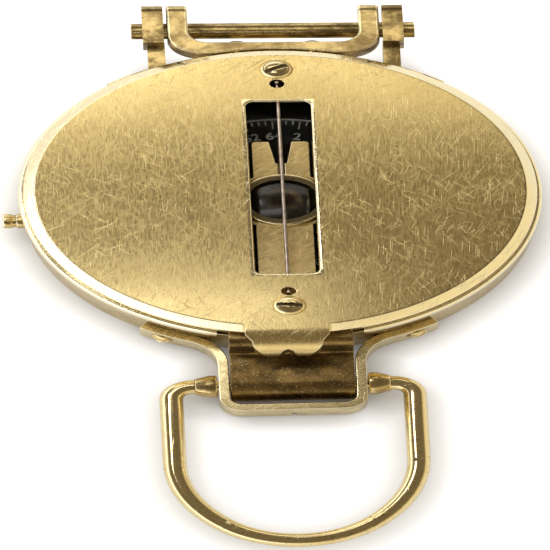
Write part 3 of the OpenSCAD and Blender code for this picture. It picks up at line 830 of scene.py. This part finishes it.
@dataclass
class Eyepiece(Assembly):
    """The folding eyepiece."""

    cell_radius: float = 5.0
    cell_chamfer: float = 0.34
    cell_middle: float = -1.25
    top: float = 0.0

    def _on_cell(self, edge: bmesh.types.BMEdge) -> bool:
        """Whether an edge is the lens cell's upper outer one."""
        return all(abs(v.co.z - self.top) < 0.05 * MM
                   and math.hypot(v.co.x, v.co.y - self.cell_middle * MM) > self.cell_radius * MM
                   for v in edge.verts)

    def build(self) -> None:
        """Builds the eyepiece's pieces."""
        self.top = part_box("lens_ring")[1].z
        self.round_off("eyepiece_bracket", self.roundings.sheet, finish="brass_bracket")
        self.round_off("lens_ring", self.roundings.turned, finish="lens_cell", broad=self.cell_chamfer,
                       chosen=self._on_cell)
        self.dress("eyepiece_lens", "lens_glass")


@dataclass
class ThumbRing(Assembly):
    """The wire ring and its collars."""

    end_angle: float = 60.0
    seam: float = 0.02

    def build(self) -> None:
        """Builds the ring's pieces."""
        self.round_off("thumb_ring", self.roundings.wire_end, sharp=self.end_angle, held=True,
                       join=self.seam)
        self.round_off("ring_collars", self.roundings.collar)


class Plunger(Assembly):
    """The lock plunger and its spring."""

    def build(self) -> None:
        """Builds the plunger's pieces."""
        self.round_off("lock_plunger", self.roundings.knob)
        self.dress("plunger_spring")


@dataclass
class Card(Assembly):
    """The floating card, with its printed scale."""

    circle_radius: float = 15.9
    circle_width: float = 0.28
    long_tick: tuple[float, float] = (14.2, 15.75)
    short_tick: tuple[float, float] = (15.0, 15.75)
    tick_width: float = 0.16
    label_radius: float = 12.7
    label_height: float = 1.9
    labels: int = 32
    turn: float = -2.55
    paint: float = 0.02
    circle_sides: int = 180
    parts: int = 4
    bolder: float = 0.03
    top: float = 0.0

    def _place(self, radius: float, turn: float) -> Matrix:
        """Where a mark at a radius and a bearing goes, in millimetres and degrees."""
        return (Matrix.Rotation(math.radians(-turn - self.turn), 4, "Z")
                @ Matrix.Translation((0.0, radius * MM, self.top + self.paint * MM / 2)))

    def _tick(self, work: bmesh.types.BMesh, span: tuple[float, float], turn: float) -> None:
        """Adds one tick from an inner to an outer radius at a bearing."""
        size = Matrix.Diagonal((self.tick_width * MM, (span[1] - span[0]) * MM, self.paint * MM, 1.0))
        bmesh.ops.create_cube(work, size=1.0, matrix=self._place(sum(span) / 2, turn) @ size)

    def _circle(self, work: bmesh.types.BMesh) -> None:
        """Adds the scale's circle."""
        ring = bmesh.ops.create_circle(work, segments=self.circle_sides, radius=self.circle_radius * MM,
                                       cap_ends=False, matrix=Matrix.Translation((0, 0, self.top)))
        rim = [e for e in work.edges if all(v in ring["verts"] for v in e.verts)]
        grown = bmesh.ops.extrude_edge_only(work, edges=rim)
        outer = [v for v in grown["geom"] if isinstance(v, bmesh.types.BMVert)]
        bmesh.ops.scale(work, vec=(1 + self.circle_width / self.circle_radius,) * 2 + (1,), verts=outer)
        faces = [f for f in grown["geom"] if isinstance(f, bmesh.types.BMFace)]
        raised = bmesh.ops.extrude_face_region(work, geom=faces)
        bmesh.ops.translate(work, vec=(0, 0, self.paint * MM),
                            verts=[v for v in raised["geom"] if isinstance(v, bmesh.types.BMVert)])

    def _number(self, work: bmesh.types.BMesh, value: int, turn: float) -> None:
        """Adds one of the scale's numbers at a bearing."""
        words = bpy.data.curves.new("scale_number", "FONT")
        words.body = str(value)
        words.size = self.label_height * MM
        words.align_x = "CENTER"
        words.align_y = "CENTER"
        words.extrude = self.paint * MM / 2
        words.offset = self.bolder * MM
        shown = bpy.data.objects.new("scale_number", words)
        bpy.context.scene.collection.objects.link(shown)
        bpy.context.view_layer.update()
        mesh = bpy.data.meshes.new_from_object(shown.evaluated_get(bpy.context.evaluated_depsgraph_get()))
        mesh.transform(self._place(self.label_radius, turn))
        work.from_mesh(mesh)
        bpy.data.objects.remove(shown)
        bpy.data.meshes.remove(mesh)

    def build(self) -> None:
        """Builds the card's pieces."""
        self.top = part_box("compass_card")[1].z
        self.round_off("card_hub", self.roundings.hub)
        for node in ("compass_card", "card_magnets", "card_jewel"):
            self.dress(node)
        work = bmesh.new()
        self._circle(work)
        step = 360.0 / self.labels
        for i in range(self.labels):
            self._tick(work, self.long_tick, i * step)
            for part in range(1, self.parts):
                self._tick(work, self.short_tick, (i + part / self.parts) * step)
            self._number(work, 2 * (i if i else self.labels), i * step)
        bmesh.ops.recalc_face_normals(work, faces=work.faces)
        mesh_piece("card_scale", work, "card", self.finishes["scale_paint"])
        LOG.info("printed the card's scale")


@dataclass(frozen=True)
class Lamp:
    """A soft box: where it is and faces, and its size, in millimetres, with its brightness and colour."""

    name: str
    place: Place
    aim: Place
    size: tuple[float, float]
    power: float
    colour: Colour = (1.0, 1.0, 1.0)

    def build(self) -> None:
        """Adds the lamp, which the camera doesn't see."""
        light = bpy.data.lights.new(self.name, "AREA")
        light.shape = "RECTANGLE"
        light.size, light.size_y = self.size[0] * MM, self.size[1] * MM
        light.energy = self.power * math.pi * light.size * light.size_y
        light.color = self.colour
        made = bpy.data.objects.new(self.name, light)
        made.location = Vector(self.place) * MM
        made.rotation_euler = (Vector(self.aim) - Vector(self.place)).to_track_quat("-Z", "Y").to_euler()
        made.visible_camera = False
        bpy.context.scene.collection.objects.link(made)


@dataclass
class Studio:
    """The pale floor, the soft lights and the camera."""

    elevation: float = 75.0
    bearing: float = -1.8
    squeeze: float = 0.5707
    half_width: float = 52.4
    aim: Place = (-1.367, -16.015, 12.0)
    lens: float = 1300.0
    sensor: float = 36.0
    floor_tone: Colour = (0.55, 0.54, 0.52)
    floor_glow: float = 1.0
    floor_bounce: float = 0.7
    shade_reach: float = 5.0
    horizon_left: Colour = (2.1, 2.15, 2.2)
    horizon_right: Colour = (0.98, 0.86, 0.60)
    zenith: Colour = (0.20, 0.165, 0.115)
    floor_half: float = 3.0
    shade_power: float = 1.6
    lamps: tuple[Lamp, ...] = (
        Lamp("key_box", (-150.0, 60.0, 300.0), (0.0, 0.0, 10.0), (60.0, 60.0), 9.0),
        Lamp("north_box", (-6.0, 52.0, 80.0), (-6.0, 32.0, 10.0), (120.0, 34.0), 1.3, (1.0, 0.95, 0.80)),
        Lamp("corner_box", (-38.0, 46.0, 80.0), (-30.0, 28.0, 10.0), (48.0, 34.0), 0.8),
        Lamp("south_box", (-19.0, -10.0, 80.0), (-18.0, -27.0, 10.0), (42.0, 12.0), 2.6),
        Lamp("roof_box", (-50.0, 10.0, 96.0), (-46.0, 2.0, 10.0), (50.0, 60.0), 0.2),
    )

    def floor(self) -> None:
        """Makes the pale floor."""
        work = bmesh.new()
        bmesh.ops.create_grid(work, x_segments=1, y_segments=1, size=self.floor_half)
        mesh = bpy.data.meshes.new("floor")
        work.to_mesh(mesh)
        work.free()
        made = bpy.data.objects.new("floor", mesh)
        bpy.context.scene.collection.objects.link(made)
        material = bpy.data.materials.new("pale_floor")
        material.use_nodes = True
        w = Wiring(material.node_tree)
        shader = material.node_tree.nodes["Principled BSDF"]
        shader.inputs["Base Color"].default_value = (*self.floor_tone, 1.0)
        shader.inputs["Roughness"].default_value = 0.9
        shader.inputs["Emission Color"].default_value = (1.0, 1.0, 1.0, 1.0)
        seen = w.node("ShaderNodeLightPath").outputs["Is Camera Ray"]
        open_sky = w.node("ShaderNodeAmbientOcclusion", samples=8)
        open_sky.inputs["Distance"].default_value = self.shade_reach * MM
        glow = w.span(seen, 0.0, 1.0, self.floor_bounce, self.floor_glow)
        shade = w.maths("POWER", open_sky.outputs["AO"], self.shade_power)
        w.feed(shader.inputs["Emission Strength"], w.maths("MULTIPLY", glow, shade))
        mesh.materials.append(material)

    def world(self) -> None:
        """Makes a surround: a bright horizon, white to gold from left to right, and a dim zenith."""
        world = bpy.data.worlds.new("soft_surround")
        bpy.context.scene.world = world
        world.use_nodes = True
        w = Wiring(world.node_tree)
        direction = w.node("ShaderNodeTexCoord").outputs["Generated"]
        x, y, z = w.split(direction)
        lean = w.maths("ADD", w.maths("MULTIPLY", x, -1.0), w.maths("MULTIPLY", y, 0.25))
        horizon = w.mix(w.span(lean, -0.7, 0.7), self.horizon_right, self.horizon_left)
        height = w.maths("ABSOLUTE", w.maths("SUBTRACT", z, 0.05))
        colour = w.mix(w.span(height, 0.12, 0.5), horizon, self.zenith)
        w.feed(world.node_tree.nodes["Background"].inputs["Color"], colour)
        world.node_tree.nodes["Background"].inputs["Strength"].default_value = 1.0

    def camera(self) -> None:
        """Makes the camera, whose sideways axis leans back so that the view is squeezed upright."""
        turn, rise = math.radians(self.bearing), math.radians(self.elevation)
        right = Vector((math.cos(turn), math.sin(turn), 0.0))
        level = Vector((-math.sin(turn), math.cos(turn), 0.0))
        forward = level * math.cos(rise) - Vector((0.0, 0.0, 1.0)) * math.sin(rise)
        up = right.cross(forward)
        half = math.atan(self.sensor / 2 / self.lens)
        distance = self.half_width * MM / math.tan(half)
        data = bpy.data.cameras.new("view")
        data.lens, data.sensor_width = self.lens, self.sensor
        data.clip_start, data.clip_end = distance / 10, distance * 10
        made = bpy.data.objects.new("view", data)
        rig = bpy.data.objects.new("view_rig", None)
        for item in (made, rig):
            bpy.context.scene.collection.objects.link(item)
        lean = Matrix(((self.squeeze, 0, 0, 0), (0, 1, 0, 0),
                       (math.sqrt(1 - self.squeeze ** 2), 0, 1, 0), (0, 0, 0, 1)))
        place = (Matrix.Translation(Vector(self.aim) * MM - forward * distance)
                 @ Matrix((right, up, -forward)).transposed().to_4x4())
        made.parent = rig
        made.matrix_parent_inverse = place @ lean
        bpy.context.scene.camera = made

    def build(self) -> None:
        """Sets up the studio."""
        self.floor()
        self.world()
        for lamp in self.lamps:
            lamp.build()
        self.camera()
        bpy.context.scene.view_settings.view_transform = "Standard"
        LOG.info("studio ready")


def make_finishes() -> dict[str, bpy.types.Material]:
    """Builds every finish, keyed by the record's slot that it dresses."""
    Effects().build()
    finishes = {
        "brass_lid": LidFinish("rubbed_lid_brass", (0.90, 0.71, 0.33), (0.68, 0.51, 0.21), roughness=0.25,
                               patina_cover=0.5, patina_scale=120.0, patina_share=0.4, softness=0.3,
                               scratch_share=0.4, lay=Lay.ALONG_Y, specks=0.0, relief=0.00004),
        "brass_case": BrassFinish("turned_brass", (0.82, 0.64, 0.30), (0.50, 0.36, 0.14), roughness=0.2),
        "brass_aged": BrassFinish("aged_brass", (0.80, 0.62, 0.30), (0.22, 0.14, 0.05), roughness=0.22,
                                  patina_cover=0.45, patina_share=0.7, patina_scale=300.0),
        # the eyepiece bracket, with painted shade and painted glints on its shelf
        "brass_bracket": BracketFinish("bracket_brass_shaded", (0.95, 0.74, 0.36), (0.62, 0.43, 0.17),
                                       roughness=0.27, patina_cover=0.48, patina_share=0.7,
                                       patina_scale=240.0),
        "brass_strap": BrassFinish("strap_brass", (0.96, 0.80, 0.44), (0.40, 0.28, 0.10), roughness=0.24,
                                   patina_cover=0.42, patina_share=0.6, patina_scale=520.0, specks=0.6),
        "brass_yoke": BrassFinish("yoke_brass", (0.74, 0.57, 0.27), (0.18, 0.11, 0.04), roughness=0.24,
                                  patina_cover=0.5, patina_share=0.75, patina_scale=360.0),
        "brass_ear": BrassFinish("ear_brass", (0.70, 0.53, 0.24), (0.11, 0.07, 0.026), roughness=0.22,
                                 patina_cover=0.52, patina_share=0.85, patina_scale=400.0),
        "brass_pin": BrassFinish("pin_bronze", (0.62, 0.47, 0.21), (0.10, 0.062, 0.022), roughness=0.22,
                                 patina_cover=0.5, patina_share=0.85, patina_scale=420.0, lay=Lay.ALONG_X),
        "brass_polished": BrassFinish("polished_brass", (0.90, 0.74, 0.40), (0.62, 0.45, 0.18),
                                      roughness=0.13, patina_cover=0.38, patina_scale=180.0, grain=0.05),
        "brass_screw": BrassFinish("screw_brass", (0.83, 0.65, 0.32), (0.42, 0.29, 0.10), roughness=0.2,
                                   patina_scale=900.0),
        "steel_post": PlainFinish("post_steel", (0.6, 0.6, 0.6), (0.4, 0.4, 0.4), 1.0, 0.25),
        "steel_wire": PlainFinish("wire_steel", (0.72, 0.62, 0.56), (0.45, 0.38, 0.34), 1.0, 0.3),
        "magnet_steel": PlainFinish("magnet_steel", (0.12, 0.12, 0.14), (0.05, 0.05, 0.07), 1.0, 0.35),
        "card_black": PlainFinish("card_black", (0.006, 0.006, 0.007), (0.014, 0.013, 0.012), 0.0, 0.5,
                                  gloss=0.1),
        "scale_paint": PlainFinish("scale_paint", (0.66, 0.66, 0.64), (0.42, 0.42, 0.40), 0.0, 0.6),
        "gasket": PlainFinish("gasket_rubber", (0.03, 0.03, 0.03), (0.05, 0.05, 0.05), 0.0, 0.8),
        "jewel": PlainFinish("jewel_red", (0.40, 0.03, 0.05), (0.25, 0.02, 0.03), 0.0, 0.1),
        "window_glass": GlassFinish("window_glass", ior=1.15),
        # painted shade: the lens is tinted dark brown to stand for the dark seen through it
        "lens_glass": GlassFinish("lens_glass", (0.34, 0.29, 0.20), roughness=0.16, gloss=0.3),
        "lens_cell": CellFinish("lens_cell_brass", (0.90, 0.74, 0.40), (0.62, 0.45, 0.18), roughness=0.16),
        "slotted_brass": SlottedFinish("slotted_brass", (0.88, 0.72, 0.40), (0.60, 0.44, 0.18),
                                       roughness=0.14, patina_scale=900.0),
    }
    return {slot: finish.build() for slot, finish in finishes.items()}


def main(frame: dict) -> None:
    """Builds the compass.
    """
    logging.basicConfig(level=logging.INFO, format="%(message)s")
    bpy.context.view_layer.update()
    finishes = make_finishes()
    for assembly in (Case, Card, Plunger, Eyepiece, Lid, ThumbRing):
        assembly(frame, finishes).build()
    Studio().build()


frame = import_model()

if __name__ == "__main__":
    main(frame)
